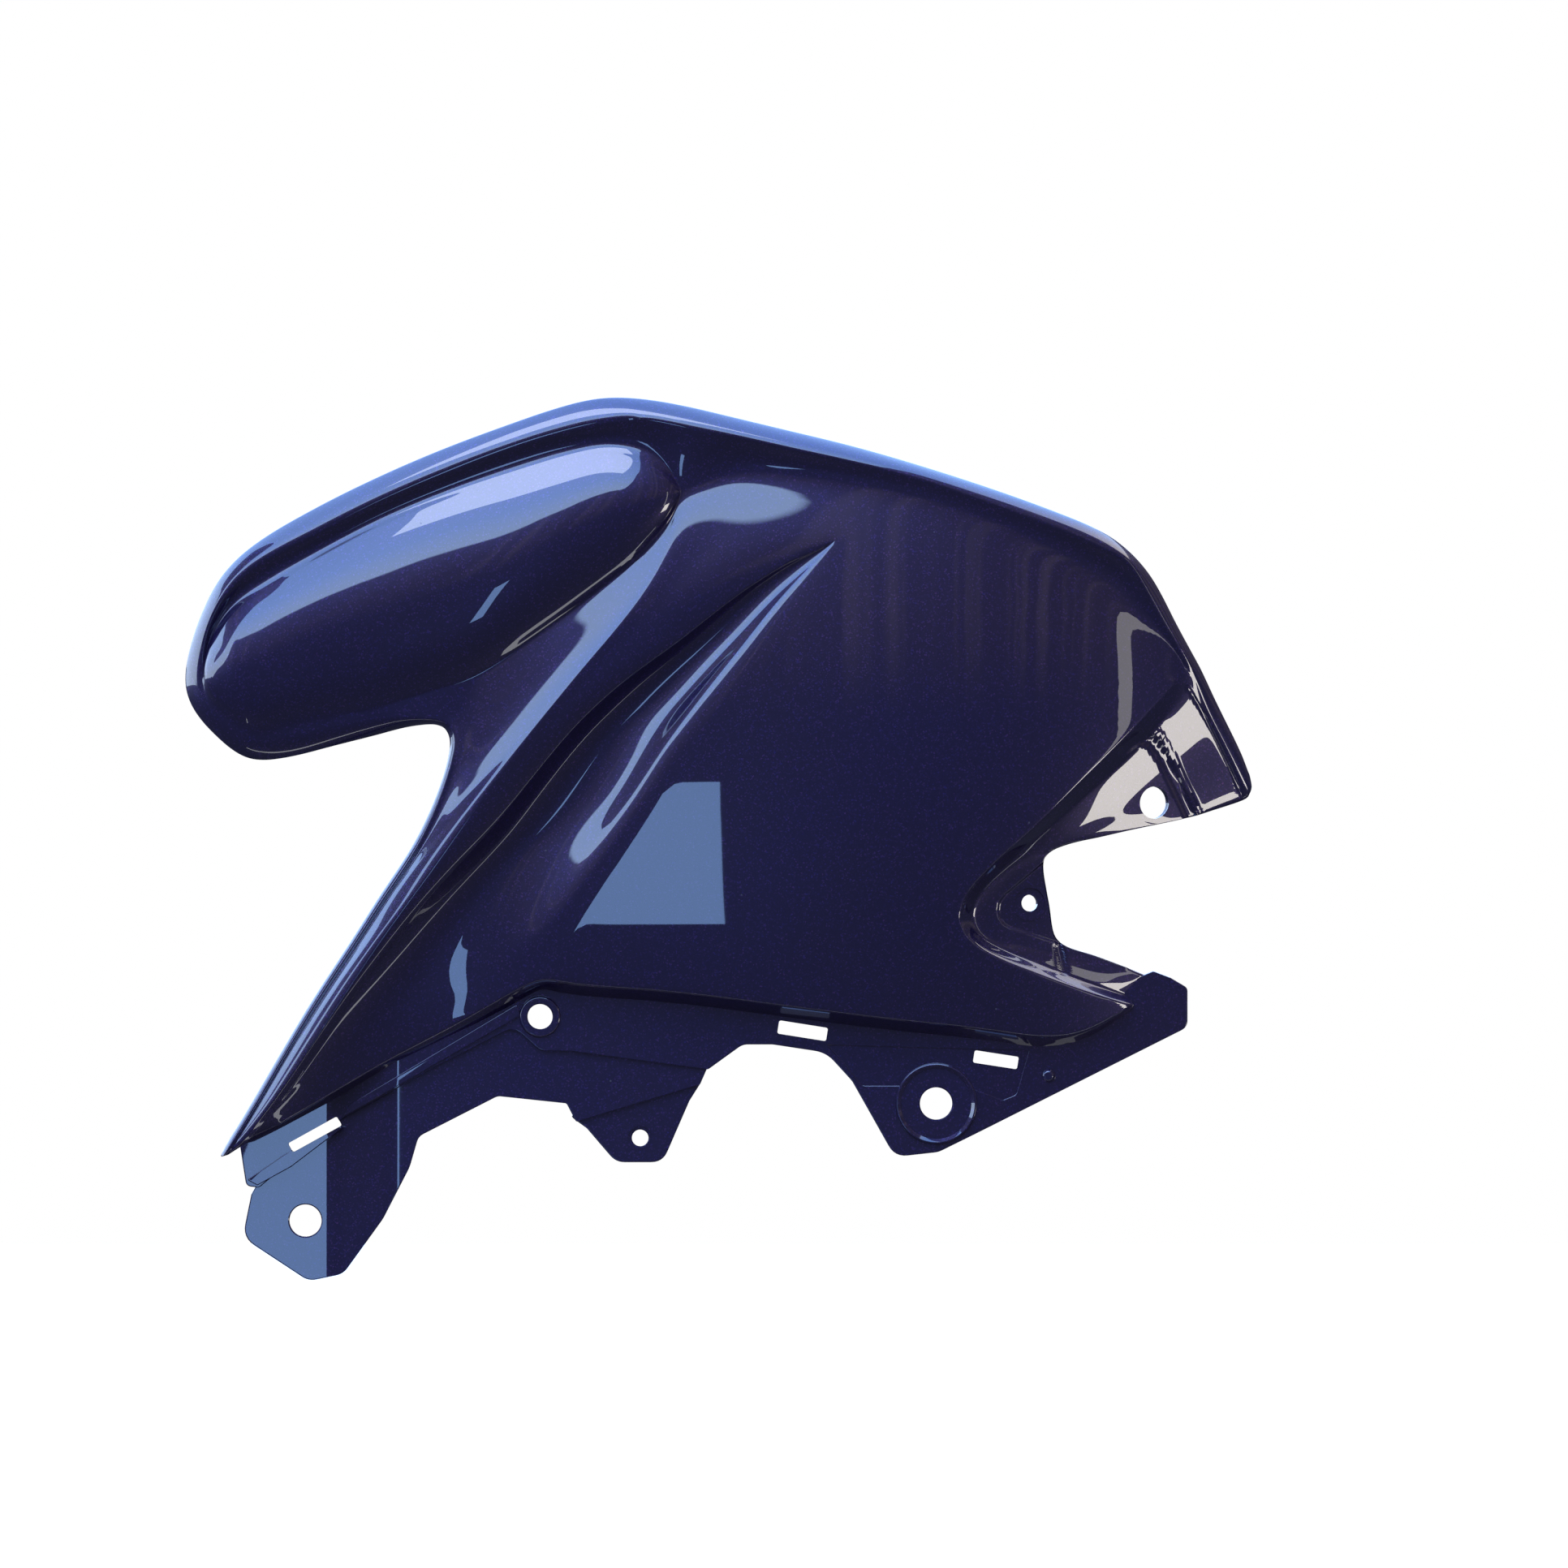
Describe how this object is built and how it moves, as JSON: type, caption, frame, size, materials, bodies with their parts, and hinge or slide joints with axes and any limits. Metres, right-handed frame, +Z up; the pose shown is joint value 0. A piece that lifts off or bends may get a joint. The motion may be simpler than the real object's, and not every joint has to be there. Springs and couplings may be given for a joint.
{
  "type": "motorcycle side fairing",
  "caption": "Moulded side fairing panel of a motorcycle: long arm with a raised oval pad, crowned blade beside a sunk scoop, broad main face and a lower mounting flange.",
  "frame": {"origin": "middle of the large grommet bore, at the front face of its sunk seat", "axes": "+Z up as pictured, -Y out of the painted face, -X toward the long arm at the front"},
  "size_m": [0.4787, 0.0632, 0.3933],
  "materials": {
    "paint": "metallic clear coat, very dark blue violet"
  },
  "bodies": {
    "root": {"fairing_panel": "paint"}
  },
  "joints": []
}
